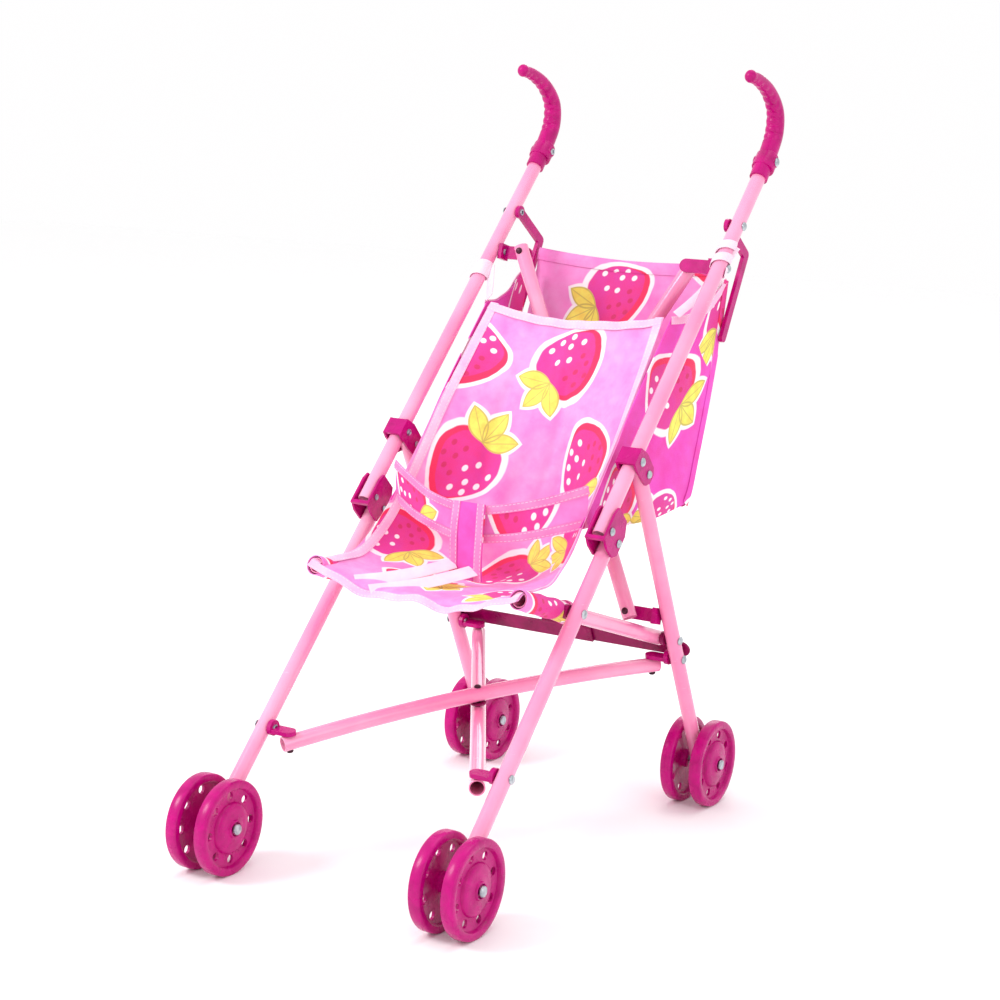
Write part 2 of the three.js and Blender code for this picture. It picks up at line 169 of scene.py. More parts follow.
def srgb(r, g, b):
    """A linear colour from 0 to 255 sRGB values."""
    def linear(c):
        c /= 255.0
        return TONE * (c / 12.92 if c <= 0.04045 else ((c + 0.055) / 1.055) ** 2.4)
    return (linear(r), linear(g), linear(b), 1.0)


def feed(tree, slot, value):
    """Links a shader value into a slot, or writes a plain value there."""
    if isinstance(value, Val):
        tree.links.new(value.socket, slot)
    else:
        slot.default_value = value


class Val:
    """A shader value; arithmetic on it makes Math nodes."""

    def __init__(self, tree, socket):
        self.tree, self.socket = tree, socket

    def op(self, kind, *others, clamp=False):
        node = self.tree.nodes.new("ShaderNodeMath")
        node.operation = kind
        node.use_clamp = clamp
        for slot, value in zip(node.inputs, (self, *others)):
            feed(self.tree, slot, value)
        return Val(self.tree, node.outputs[0])

    def __add__(self, other):
        return self.op("ADD", other)

    def __sub__(self, other):
        return self.op("SUBTRACT", other)

    def __mul__(self, other):
        return self.op("MULTIPLY", other)

    def __truediv__(self, other):
        return self.op("DIVIDE", other)

    def max(self, other):
        return self.op("MAXIMUM", other)

    def min(self, other):
        return self.op("MINIMUM", other)

    def abs(self):
        return self.op("ABSOLUTE")

    def sin(self):
        return self.op("SINE")

    def cos(self):
        return self.op("COSINE")

    def below(self, edge, soft):
        """1 where the value is under edge, 0 above it, with a soft step."""
        return ((self * -1.0 + edge) / soft + 0.5).op("ADD", 0.0, clamp=True)


class Shader:
    """A material under construction, with short ways to make its nodes."""

    def __init__(self, name, roughness, metallic=0.0, coat=0.0, sheen=0.0, **rest):
        self.material = bpy.data.materials.new(name)
        self.material.use_nodes = True
        self.tree = self.material.node_tree
        self.surface = next(n for n in self.tree.nodes if n.type == "BSDF_PRINCIPLED")
        self.set("Roughness", roughness)
        self.set("Metallic", metallic)
        self.set("Coat Weight", coat)
        self.set("Sheen Weight", sheen)
        for key, value in rest.items():
            self.set(key.replace("_", " "), value)

    def set(self, slot, value):
        feed(self.tree, self.surface.inputs[slot], value)

    def coords(self, kind="Object"):
        node = self.tree.nodes.get("coords") or self.tree.nodes.new("ShaderNodeTexCoord")
        node.name = "coords"
        return Val(self.tree, node.outputs[kind])

    def scaled(self, vector, scale):
        node = self.tree.nodes.new("ShaderNodeMapping")
        self.tree.links.new(vector.socket, node.inputs[0])
        node.inputs["Scale"].default_value = scale
        return Val(self.tree, node.outputs[0])

    def noise(self, vector, scale, detail=3.0, roughness=0.5, distortion=0.0):
        node = self.tree.nodes.new("ShaderNodeTexNoise")
        for key, value in (("Vector", vector), ("Scale", scale), ("Detail", detail),
                           ("Roughness", roughness), ("Distortion", distortion)):
            feed(self.tree, node.inputs[key], value)
        return Val(self.tree, node.outputs[0])

    def split(self, vector):
        node = self.tree.nodes.new("ShaderNodeSeparateXYZ")
        self.tree.links.new(vector.socket, node.inputs[0])
        return [Val(self.tree, o) for o in node.outputs]

    def joined(self, x, y):
        node = self.tree.nodes.new("ShaderNodeCombineXYZ")
        self.tree.links.new(x.socket, node.inputs[0])
        self.tree.links.new(y.socket, node.inputs[1])
        return Val(self.tree, node.outputs[0])

    def mix(self, factor, a, b):
        node = self.tree.nodes.new("ShaderNodeMix")
        node.data_type = "RGBA"
        for slot, value in (("Factor", factor), (6, a), (7, b)):
            feed(self.tree, node.inputs[slot], value)
        return Val(self.tree, node.outputs[2])

    def ramp(self, value, low, high):
        """Stretches low..high to 0..1, clamped."""
        return ((value - low) / (high - low)).op("ADD", 0.0, clamp=True)

    def bump(self, height, distance, strength=1.0):
        node = self.tree.nodes.new("ShaderNodeBump")
        node.inputs["Strength"].default_value = strength
        node.inputs["Distance"].default_value = distance
        self.tree.links.new(height.socket, node.inputs["Height"])
        self.tree.links.new(node.outputs[0], self.surface.inputs["Normal"])


# ---- hard materials ----
def paint(name, base, pale):
    """Glossy sprayed paint on steel tube: faint orange peel, slow tone changes, small scuffs."""
    s = Shader(name, 0.2, coat=0.6, Coat_Roughness=0.06)
    at = s.coords()
    tone = s.ramp(s.noise(at, 14, 4), 0.35, 0.7)
    speck = s.ramp(s.noise(at, 700, 2), 0.70, 0.78)
    scuff = s.ramp(s.noise(s.scaled(at, (1, 1, 5)), 95, 5, 0.7), 0.64, 0.72)
    colour = s.mix(tone, base, pale)
    colour = s.mix(speck * 0.25, colour, srgb(226, 96, 146))
    colour = s.mix(scuff * 0.18, colour, srgb(255, 226, 236))
    s.set("Base Color", colour)
    s.set("Roughness", scuff * 0.22 + (s.noise(at, 40, 3) * 0.12 + 0.14))
    s.bump(s.noise(at, 420, 2), 0.00012, 0.35)
    return s.material


def moulding(name, base, deep, rough=0.26):
    """Injection-moulded plastic: swirled tone, flow marks, a fine satin grain and rubbed spots."""
    s = Shader(name, rough, coat=0.04, Coat_Roughness=0.12)
    s.set("Specular IOR Level", 0.22)
    at = s.coords()
    swirl = s.ramp(s.noise(at, 60, 4, 0.6, 1.2), 0.3, 0.75)
    rubbed = s.ramp(s.noise(at, 160, 5, 0.7), 0.62, 0.75)
    colour = s.mix(swirl, deep, base)
    s.set("Base Color", s.mix(rubbed * 0.15, colour, srgb(220, 50, 150)))
    s.set("Roughness", s.noise(at, 90, 4) * 0.25 + rubbed * 0.15 + (rough - 0.12))
    grain = s.noise(at, 1500, 2) * 0.4 + s.noise(s.scaled(at, (1, 3, 1)), 130, 3)
    s.bump(grain, 0.00018, 0.4)
    return s.material


def metal(name, base, dark, rough):
    """Plated steel: brushed streaks, cloudy plating and dull pits."""
    s = Shader(name, rough, metallic=1.0)
    at = s.coords()
    cloud = s.ramp(s.noise(at, 300, 4), 0.35, 0.7)
    streak = s.noise(s.scaled(at, (12, 1, 1)), 900, 3)
    s.set("Base Color", s.mix(cloud, dark, base))
    s.set("Roughness", streak * 0.2 + cloud * 0.1 + (rough - 0.12))
    s.bump(streak, 0.00006, 0.4)
    return s.material


# ---- cloth materials, laid out in millimetres by each sheet's UV map ----
def weave_height(x, y, pitch):
    """A plain weave: threads that pass over and under each other."""
    turn = 2 * math.pi / pitch
    warp = (x * turn).sin()
    weft = (y * turn).sin()
    return warp * weft * 0.5 + (x * (turn * 2)).cos().max((y * (turn * 2)).cos()) * 0.3


GROUND_PALE, GROUND_DEEP = srgb(255, 182, 234), srgb(251, 118, 206)
SHADED_PALE, SHADED_DEEP = srgb(244, 70, 214), srgb(236, 6, 160)
BERRY_FILL, BERRY_DEEP, BERRY_RIM = srgb(226, 46, 164), srgb(234, 18, 130), srgb(244, 0, 84)
SEED_RED = srgb(214, 0, 96)
LEAF, LEAF_DEEP, LEAF_LINE = srgb(252, 246, 96), srgb(246, 208, 70), srgb(190, 176, 80)
WHITE = srgb(255, 252, 254)
# seeds as (across, along) of a berry whose crown is at along = 1, tip at -1
PALE_SEEDS = [(-0.30, 0.30), (-0.68, 0.22), (-0.62, -0.14), (-0.34, -0.24), (-0.16, -0.58),
              (-0.46, -0.48), (-0.10, 0.02)]
RED_SEEDS = [(0.20, 0.40), (0.52, 0.34), (0.28, 0.10), (0.56, -0.02), (0.34, -0.26), (0.10, -0.32)]
PETALS = (-56, -2, 54)


LEAF_FOOT, LEAF_LONG = 0.78, 0.92      # where a leaf starts along its berry, and its length


def nearest_berry(x, y, berries):
    """(across, along) in the berry that each point is closest to, in berry sizes."""
    px, py, best = None, None, None
    for cx, cy, size, angle in berries:
        c, w = math.cos(math.radians(angle)), math.sin(math.radians(angle))
        dx, dy = x - cx, y - cy
        across = (dx * w - dy * c) / size
        along = (dx * c + dy * w) / size
        up = along - 0.3
        near = across * across + up * up
        if px is None:
            px, py, best = across, along, near
        else:
            closer = near.op("LESS_THAN", best)
            px = px + (across - px) * closer
            py = py + (along - py) * closer
            best = best.min(near)
    return px, py


def union(masks):
    """1 wherever any of the masks is."""
    found = masks[0]
    for mask in masks[1:]:
        found = found.max(mask)
    return found


def seed_mask(px, py, places, radius):
    """Seeds a little longer than wide."""
    spots = []
    for sx, sy in places:
        ax, ay = px - sx, (py - sy) * 0.72
        spots.append((ax * ax + ay * ay).op("SQRT").below(radius, 0.02))
    return union(spots)


def leaf_masks(px, py):
    """The leaves at a berry's crown: their fill, their lines and the halo round them."""
    fill, lines, halo = [], [], []
    for petal in PETALS:
        c, w = math.cos(math.radians(petal)), math.sin(math.radians(petal))
        ly = py - LEAF_FOOT
        reach = (px * w + ly * c) / LEAF_LONG
        wide = (px * c - ly * w).abs()
        gap = wide - (reach * (reach * -1.0 + 1.0)) * LEAF_LONG
        inside = gap.below(0.0, 0.02)
        fill.append(inside)
        lines += [gap.abs().below(0.022, 0.02), wide.below(0.012, 0.02) * inside]
        halo.append(gap.below(0.12, 0.03))
    return union(fill), union(lines), union(halo)


def print_cloth(name, berries, deep=0.0):
    """Printed polyester: strawberries with a white outline, a dark rim, seeds and three leaves.
    berries is a list of (x, y, size, angle of the crown in degrees), all in millimetres;
    deep mixes the ground from the pale pink towards the SHADED magenta colours, a painted shade for
    cloth that lies in shade."""
    s = Shader(name, 0.72, sheen=0.08, Sheen_Roughness=0.4)
    s.set("Specular IOR Level", 0.25)
    x, y, _ = s.split(s.coords("UV"))
    flow = s.coords()
    px, py = nearest_berry(x, y, berries)
    wobble = s.noise(s.joined(px, py), 1.4, 2) * 0.14 - 0.07

    def outline(sx, sy):
        half = sy * 0.27 + 0.82
        return ((sx / half) * (sx / half) + sy * sy).op("SQRT") + wobble

    edge = outline(px, py)
    body = edge.below(1.0, 0.03)
    rim = outline(px + 0.09, py - 0.05).below(0.91, 0.03) * -1.0 + 1.0
    leaf, leaf_line, leaf_halo = leaf_masks(px, py)
    outer = edge.below(1.15, 0.03).max(leaf_halo)
    mottle = s.ramp(s.noise(flow, 26, 4, 0.6), 0.32, 0.72)
    wash = s.ramp(s.noise(flow, 110, 4, 0.6), 0.35, 0.75)
    # painted shade: deep blends the ground towards the colours it shows in shade
    pale = s.mix(deep, GROUND_PALE, SHADED_PALE)
    rich = s.mix(deep, GROUND_DEEP, SHADED_DEEP)
    colour = s.mix(outer, s.mix(mottle * 0.7 + wash * 0.3, rich, pale), WHITE)
    fill = s.mix(s.ramp(px * -0.5 + wash * 0.7, -0.2, 0.9), BERRY_DEEP, BERRY_FILL)
    fill = s.mix(seed_mask(px, py, RED_SEEDS, 0.06), fill, SEED_RED)
    fill = s.mix(rim, fill, BERRY_RIM)
    fill = s.mix(seed_mask(px, py, PALE_SEEDS, 0.065), fill, WHITE)
    colour = s.mix(body, colour, fill)
    leaf_fill = s.mix(s.ramp(wash * 0.8 + py * 0.2, 0.3, 1.1), LEAF, LEAF_DEEP)
    colour = s.mix(leaf.max(leaf_line), colour, s.mix(leaf_line * 0.75, leaf_fill, LEAF_LINE))
    threads = weave_height(x, y, 0.9)
    colour = s.mix((threads * 0.10 + 0.04).max(0.0), colour, srgb(255, 220, 246))
    s.set("Base Color", colour)
    s.set("Roughness", wash * 0.12 + 0.62)
    s.bump(threads + wash * 1.5, 0.00012, 0.5)
    return s.material


def ribbon_cloth(name, base, pale, lines=True):
    """Grosgrain ribbon: fine cross ribs, a stitch line near each edge. UV x runs across."""
    s = Shader(name, 0.62, sheen=0.35, Sheen_Roughness=0.35)
    x, y, _ = s.split(s.coords("UV"))
    flow = s.coords()
    ribs = (y * (2 * math.pi / 0.7)).sin() * 0.5 + 0.5
    cloud = s.ramp(s.noise(flow, 60, 4, 0.6), 0.3, 0.7)
    colour = s.mix(cloud * 0.7 + ribs * 0.15, base, pale)
    height = ribs
    if lines:
        near = (x.abs() - 2.2).abs()
        dash = (y * (2 * math.pi / 3.0)).sin().op("GREATER_THAN", -0.3)
        stitch = near.below(0.22, 0.15) * dash
        colour = s.mix(stitch * 0.6, colour, srgb(255, 244, 250))
        height = ribs * 0.4 + stitch * 2.0
    s.set("Base Color", colour)
    s.set("Roughness", cloud * 0.15 + 0.52)
    s.bump(height, 0.00015, 0.6)
    return s.material


# ---- mesh helpers ----
def new_mesh(name, points, faces, material, smooth_angle=35.0, uv=None):
    data = bpy.data.meshes.new(name)
    data.from_pydata([tuple(p) for p in points], [], [tuple(f) for f in faces])
    data.update()
    if uv is not None:
        layer = data.uv_layers.new(name="UVMap")
        for loop in data.loops:
            layer.data[loop.index].uv = uv[loop.vertex_index]
    data.materials.append(material)
    obj = link(name, data)
    shade(obj, smooth_angle)
    return obj


def shade(obj, angle=35.0):
    obj.data.set_sharp_from_angle(angle=math.radians(angle))
    for polygon in obj.data.polygons:
        polygon.use_smooth = True


def lofted(name, rings, material, angle=35.0):
    """A closed skin over rings of equal size, with a cap at each end."""
    n = len(rings[0])
    points = [p for ring in rings for p in ring]
    faces = [tuple(reversed(range(n))), tuple(range(len(points) - n, len(points)))]
    for i in range(len(rings) - 1):
        for j in range(n):
            k = (j + 1) % n
            faces.append((i * n + j, i * n + k, (i + 1) * n + k, (i + 1) * n + j))
    return new_mesh(name, points, faces, material, angle)


def join(name, parts):
    """Parts of one material made into one object."""
    bm = bmesh.new()
    for part in parts:
        bm.from_mesh(part.data)
    for face in bm.faces:
        face.material_index = 0
    out = bpy.data.meshes.new(name)
    bm.to_mesh(out)
    bm.free()
    out.materials.append(parts[0].data.materials[0])
    for part in parts:
        bpy.data.objects.remove(part)
    obj = link(name, out)
    shade(obj)
    return obj


def sweep_frame(points):
    """Tangents and two steady normals along a polyline."""
    last = len(points) - 1
    tangents = [(points[min(i + 1, last)] - points[max(i - 1, 0)]).normalized()
                for i in range(last + 1)]
    start = Vector((1, 0, 0)) if abs(tangents[0].x) < 0.8 else Vector((0, 0, 1))
    normal = (start - tangents[0] * start.dot(tangents[0])).normalized()
    out = []
    for p, t in zip(points, tangents):
        normal = (normal - t * normal.dot(t)).normalized()
        out.append((p, t, normal, t.cross(normal)))
    return out


def pipe(name, points, material, radius=TUBE_R, wall=TUBE_WALL, sides=32, lip=0.25):
    """An open-ended tube along a polyline, with rounded lips. Radii in millimetres."""
    first, *middle, last = sweep_frame(points)

    def ring(frame_at, r, shift=0.0):
        p, t, a, b = frame_at
        return [p + t * shift * MM + (a * math.cos(k) + b * math.sin(k)) * r * MM
                for k in (2 * math.pi * j / sides for j in range(sides))]

    rings = [ring(first, radius - wall), ring(first, radius - wall / 2), ring(first, radius - lip),
             ring(first, radius, lip)]
    rings += [ring(f, radius) for f in middle]
    rings += [ring(last, radius, -lip), ring(last, radius - lip), ring(last, radius - wall)]
    rings += [ring(f, radius - wall) for f in reversed(middle)]
    faces = []
    for i in range(len(rings)):
        k = (i + 1) % len(rings)
        for j in range(sides):
            m = (j + 1) % sides
            faces.append((i * sides + j, i * sides + m, k * sides + m, k * sides + j))
    return new_mesh(name, [p for r in rings for p in r], faces, material, 40.0)


def straight(a, b, steps=6):
    a, b = Vector(a), Vector(b)
    return [a.lerp(b, i / steps) for i in range(steps + 1)]


def lathe(name, profile, place, axis, material, sides=32, angle=30.0):
    """profile is (radius, height) in millimetres, closed at both ends on the axis."""
    axis = Vector(axis).normalized()
    side = axis.orthogonal().normalized()
    other = axis.cross(side)
    rings = []
    for r, h in profile:
        r = max(r, 0.01)
        rings.append([Vector(place) + axis * h * MM
                      + (side * math.cos(k) + other * math.sin(k)) * r * MM
                      for k in (2 * math.pi * j / sides for j in range(sides))])
    return lofted(name, rings, material, angle)


def finish_cad(node, material, bevel):
    """A CAD node that stays: welded corners rounded by a bevel, and a material."""
    obj = frame["nodes"][node]
    obj.data.materials.clear()
    obj.data.materials.append(material)
    weld = obj.modifiers.new("weld", "WELD")
    weld.merge_threshold = 0.00002
    edge = obj.modifiers.new("edge", "BEVEL")
    edge.width = bevel * MM
    edge.segments = 2
    edge.limit_method = "ANGLE"
    edge.angle_limit = math.radians(35)
    edge.harden_normals = False


def ride(obj, body):
    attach(obj, body)
    return obj


# ---- the scene's camera, floor and light ----
make_camera()
MATTE = Shader("floor_white", 0.9)
floor_grain = MATTE.ramp(MATTE.noise(MATTE.coords(), 30, 3), 0.2, 0.8)
MATTE.set("Base Color", MATTE.mix(floor_grain, (0.985, 0.985, 0.985, 1), (1.0, 1.0, 1.0, 1)))
floor = new_mesh("floor", [(-6, -6, 0), (6, -6, 0), (6, 6, 0), (-6, 6, 0)], [(0, 1, 2, 3)],
                 MATTE.material)
make_light("key", (-1.3, -1.5, 1.7), (0, 0, 0.25), 0.8, 27)
make_light("fill", (2.2, -1.0, 1.0), (0, 0, 0.25), 1.4, 7)
make_light("top", (0.2, 0.6, 2.4), (0, 0, 0.2), 1.4, 8)
make_light("rim", (-0.8, 2.0, 1.2), (0, 0, 0.3), 1.2, 6)
scene.world = scene.world or bpy.data.worlds.new("world")
scene.world.use_nodes = True
sky = scene.world.node_tree.nodes["Background"]
sky.inputs[0].default_value = (1.0, 0.995, 0.998, 1)
sky.inputs[1].default_value = 1.0
scene.view_settings.view_transform = "Standard"
scene.view_settings.exposure = 0.0

# ---- materials ----
PAINT = paint("pink_paint", srgb(248, 138, 184), srgb(253, 172, 206))
MOULD = moulding("magenta_moulding", srgb(206, 0, 130), srgb(172, 0, 106))
MOULD_DARK = moulding("dark_moulding", srgb(158, 0, 92), srgb(124, 0, 70), 0.3)
GRIP = moulding("grip_moulding", srgb(206, 0, 128), srgb(172, 0, 104), 0.34)
ZINC = metal("zinc", srgb(214, 220, 224), srgb(150, 158, 166), 0.3)
DARK_PIN = metal("dark_pin", srgb(96, 60, 74), srgb(60, 30, 42), 0.4)
RIBBON = ribbon_cloth("binding", srgb(252, 172, 216), srgb(255, 216, 238))
BELT_RIBBON = ribbon_cloth("belt_binding", srgb(248, 112, 184), srgb(253, 158, 210))
WHITE_RIBBON = ribbon_cloth("white_ribbon", srgb(255, 208, 232), srgb(255, 240, 248), lines=False)


# ---- painted tubes ----
def at(x, yz):
    return world(x, yz[0], yz[1])


def tube_between(name, a, b, body):
    return ride(pipe(name, straight(a, b), PAINT), body)


def plane_point(low, high, x, behind, share):
    """A point of the plane through two side points: share of the way, behind off the plane."""
    dy, dz = high[0] - low[0], high[1] - low[1]
    run = math.hypot(dy, dz)
    return world(x, low[0] + dy * share + behind * dz / run, low[1] + dz * share - behind * dy / run)


# piece, body, CAD node, |x|, and its two ends
TUBES = (("upper_tube", "handle", "handle_tube", SIDE_X, on_handle(0, -4), on_handle(0, 346)),
         ("front_tube", "front_leg", "front_leg", SIDE_X, on_handle(PIVOT_OFFSET, 6),
          on_handle(PIVOT_OFFSET, -FRONT_LEG - 5)),
         ("rear_tube", "rear_leg", "rear_leg", SIDE_X, on_rear_leg(-4.5), on_rear_leg(REAR_LEG + 5)),
         ("rail_tube", "seat_rail", "seat_rail", RAIL_X, on_rail(-55), on_rail(RAIL_RUN + 8)))
BACK_OVER = BAR_OVER / math.hypot(2 * BACK_X, math.dist(BACK_TOP, BACK_LOW))
for side_name, side in SIDES:
    for piece, body, node, x, start, end in TUBES:
        tube = tube_between(f"{side_name}_{piece}", at(side * x, start), at(side * x, end),
                            f"{side_name}_{body}")
        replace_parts(tube, f"{side_name}_{node}")
    # a back bar starts at its upper end on its own side and crosses to the other
    ends = [plane_point(BACK_LOW, BACK_TOP, side * BACK_X * (2 * t - 1), side * BACK_BEHIND, t)
            for t in (1 + BACK_OVER, -BACK_OVER)]
    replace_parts(tube_between(f"{side_name}_back_tube", *ends, f"{side_name}_back_bar"),
                f"{side_name}_back_bar")


def bottom_route(side, steps=24):
    """The bowed centreline of a bottom bar, front end on its own side."""
    reach = math.hypot(2 * BOTTOM_X, math.dist(FRONT_RIVET, REAR_RIVET))
    points = []
    for t in (i / steps for i in range(steps + 1)):
        a, b, c = (1 - t) ** 2, 2 * t * (1 - t), t * t
        share = (-BAR_OVER * a + (reach / 2) * b + (reach + BAR_OVER) * c) / reach
        behind = BOTTOM_BEHIND + 2 * side * BOTTOM_BOW * b
        points.append(plane_point(FRONT_RIVET, REAR_RIVET, side * BOTTOM_X * (1 - 2 * share),
                                  behind, share))
    return points


for side_name, side in SIDES:
    bar = pipe(f"{side_name}_bottom_tube", bottom_route(side), PAINT)
    ride(bar, f"{side_name}_bottom_bar")
    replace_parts(bar, f"{side_name}_bottom_bar")


# ---- rivets and pins ----
def rivet(name, place, axis, material=ZINC, radius=3.3):
    """A domed head standing on a surface."""
    dome = [(radius * 0.98, -0.1), (radius, 0.25), (radius * 0.93, 0.75), (radius * 0.72, 1.3),
            (radius * 0.4, 1.65), (0, 1.75)]
    return lathe(name, [(0, -0.1)] + dome, place, axis, material, 24, 50)


def rolled_end(name, place, axis, radius=2.6):
    """The flared inner end of a hollow rivet."""
    rim = [(0, 0.1), (radius * 0.42, 0.1), (radius * 0.46, 0.8), (radius * 0.7, 1.15),
           (radius * 0.93, 0.8), (radius, 0.0), (0, -0.2)]
    return lathe(name, rim, place, axis, ZINC, 24, 50)


def cross_rivet(name, side, yz, outer, inner, body):
    """A rivet along x: its dome outboard at |x| = outer, its rolled end inboard at |x| = inner."""
    parts = [rivet(name + "_a", at(side * outer, yz), (side, 0, 0)),
             rolled_end(name + "_b", at(side * inner, yz), (-side, 0, 0))]
    ride(join(name, parts), body)


TUBE_FACE = SIDE_X + TUBE_R
BRACKET_FACE = 87.9
GRIP_RIVET_UP, ARM_RIVET_UP = 343, 278
# label, place, |x| of the dome, |x| of the rolled end, body
RIVETS = (("grip_rivet", on_handle(0, GRIP_RIVET_UP), SIDE_X + 8.9, SIDE_X - 8.9, "handle"),
          ("clamp_rivet", on_handle(0, CLAMP_UP), SIDE_X + 7.8, SIDE_X - 7.8, "handle"),
          ("back_top_rivet", BACK_TOP, TUBE_FACE, BRACKET_FACE, "handle"),
          ("arm_rivet", on_handle(0, ARM_RIVET_UP), TUBE_FACE, 88.2, "handle"),
          ("rail_front_rivet", RAIL_FRONT, TUBE_FACE, RAIL_X - TUBE_R, "front_leg"),
          ("rail_rear_rivet", RAIL_REAR, TUBE_FACE, RAIL_X - TUBE_R, "rear_leg"),
          ("front_bar_rivet", FRONT_RIVET, TUBE_FACE, BRACKET_FACE, "front_leg"),
          ("rear_bar_rivet", REAR_RIVET, TUBE_FACE, BRACKET_FACE, "rear_leg"))
for side_name, side in SIDES:
    for label, place, outer, inner, body in RIVETS:
        cross_rivet(f"{side_name}_{label}", side, place, outer, inner, f"{side_name}_{body}")


def bar_pin(name, low, high, x, behind, share, body):
    """A dark pin through a bar end, along the normal of the bars' plane."""
    centre = plane_point(low, high, x, behind, share)
    normal = (plane_point(low, high, x, behind + 10, share) - centre).normalized()
    parts = [rivet(name + "_a", centre + normal * TUBE_R * MM, normal, DARK_PIN, 2.6),
             rivet(name + "_b", centre - normal * TUBE_R * MM, -normal, DARK_PIN, 2.6)]
    ride(join(name, parts), body)


BACK_PLANE, BOTTOM_PLANE = (BACK_LOW, BACK_TOP), (FRONT_RIVET, REAR_RIVET)
for side_name, side in SIDES:
    off = side * BACK_BEHIND
    for label, plane, x, behind, share, body in (
            ("back_top_pin", BACK_PLANE, BACK_X, off, 1.0, "back_bar"),
            ("back_low_pin", BACK_PLANE, -BACK_X, off, 0.0, "back_bar"),
            ("bottom_front_pin", BOTTOM_PLANE, BOTTOM_X, BOTTOM_BEHIND, 0.0, "bottom_bar"),
            ("bottom_rear_pin", BOTTOM_PLANE, -BOTTOM_X, BOTTOM_BEHIND, 1.0, "bottom_bar")):
        bar_pin(f"{side_name}_{label}", *plane, side * x, behind, share, f"{side_name}_{body}")
bar_pin("bottom_crossing_pin", *BOTTOM_PLANE, 0, BOTTOM_BEHIND - BOTTOM_BOW, 0.5, "left_bottom_bar")
bar_pin("back_crossing_pin", *BACK_PLANE, 0, -BACK_BEHIND, 0.5, "left_back_bar")


# ---- moulded fittings kept from the CAD ----
for side_name, side in SIDES:
    for node in ("knee_bracket", "rear_clamp", "bag_arm", "back_bar_top_bracket",
                 "back_bar_low_bracket", "front_bar_bracket", "rear_bar_bracket"):
        finish_cad(f"{side_name}_{node}", MOULD, 0.5)
    for node in ("front_rail_spacer", "rear_rail_spacer", "brace_link"):
        finish_cad(f"{side_name}_{node}", MOULD_DARK, 0.4)
    for node in ("knee_rivet", "knee_pin", "rear_leg_pin"):
        finish_cad(f"{side_name}_{node}", ZINC, 0.3)
    for node in (f"front_{side_name}_axle", f"rear_{side_name}_axle"):
        finish_cad(node, ZINC, 0.3)
finish_cad("bottom_bar_spacer", MOULD_DARK, 0.3)


# ---- hook grips ----
GRIP_SPINE = [(0, 326), (-1, 338), (-2, 353), (-6, 368), (-18, 379), (-38, 379), (-58, 371),
              (-72, 361)]


def spline(points, share):
    """A point of the Catmull-Rom curve through a list of tuples, share of the way along it."""
    p = [np.array(q, float) for q in points]
    p = [2 * p[0] - p[1]] + p + [2 * p[-1] - p[-2]]
    spans = len(points) - 1
    s = min(max(share, 0.0), 1.0) * spans
    k = min(int(s), spans - 1)
    f = s - k
    a, b, c, d = p[k:k + 4]
    return 0.5 * (2 * b + (c - a) * f + (2 * a - 5 * b + 4 * c - d) * f * f
                  + (3 * b - a - 3 * c + d) * f ** 3)


def smooth_step(a, b, v):
    t = min(max((v - a) / (b - a), 0.0), 1.0)
    return t * t * (3 - 2 * t)


GRIP_STEPS, GRIP_SIDES, RIDGES = 150, 40, 17
TIP = 0.965     # where the rounded tip starts, as a share of the spine


def grip_ring(side, t, place, along):
    """One ring of the grip: it tapers, has ridges in front and a groove behind."""
    behind, up = place
    grow = 1 - 0.40 * smooth_step(0.42, 0.97, t) + 0.07 * smooth_step(0.93, 0.97, t)
    end = math.sqrt(max(1 - ((t - TIP) / (1 - TIP)) ** 2, 0.02)) if t > TIP else 1.0
    ridge_on = smooth_step(0.3, 0.38, t) * (1 - smooth_step(0.93, 0.97, t))
    ridge = 0.9 * abs(math.sin(math.pi * t * RIDGES)) - 0.5
    ring = []
    for turn in (2 * math.pi * j / GRIP_SIDES for j in range(GRIP_SIDES)):
        c, w = math.cos(turn), math.sin(turn)
        r = 7.3 * grow
        if c > 0.15:
            r += ridge_on * ridge * smooth_step(0.15, 0.6, c)
        groove = smooth_step(0.80, 0.93, -c) * smooth_step(0.2, 0.3, t)
        r = (r - 1.7 * groove * (1 - smooth_step(0.9, 0.95, t))) * end
        yz = on_handle(behind - along[1] * c * r, up + along[0] * c * r)
        ring.append(world(side * SIDE_X + w * r * 0.94, *yz))
    return ring


def hook_grip(side_name, side):
    """The grip's bent body, its collar on the tube and the two rivet bosses."""
    spine = [spline(GRIP_SPINE, i / GRIP_STEPS) for i in range(GRIP_STEPS + 1)]
    rings = []
    for i, place in enumerate(spine):
        run = spine[min(i + 1, GRIP_STEPS)] - spine[max(i - 1, 0)]
        rings.append(grip_ring(side, i / GRIP_STEPS, place, run / np.linalg.norm(run)))
    body = lofted("grip_body", rings, GRIP)
    foot, top = at(side * SIDE_X, on_handle(0, 335)), at(side * SIDE_X, on_handle(0, 346))
    collar = lathe("grip_collar", [(5.9, 0.2), (8.2, 0.2), (8.7, 0.8), (8.7, 12.5), (8.2, 13.6),
                                   (7.2, 14.6), (5.9, 14.6)], foot, top - foot, GRIP, 40, 30)
    bosses = [lathe(f"boss{k}", [(0, -3), (4.3, -3), (4.3, 0.4), (3.9, 0.8), (0, 0.8)],
                    at(side * SIDE_X + k * 8.0, on_handle(0, GRIP_RIVET_UP)), (k, 0, 0), GRIP, 24, 30)
              for k in (-1, 1)]
    grip = join(f"{side_name}_hook_grip", [body, collar] + bosses)
    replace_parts(ride(grip, f"{side_name}_handle"), f"{side_name}_grip")


for side_name, side in SIDES:
    hook_grip(side_name, side)


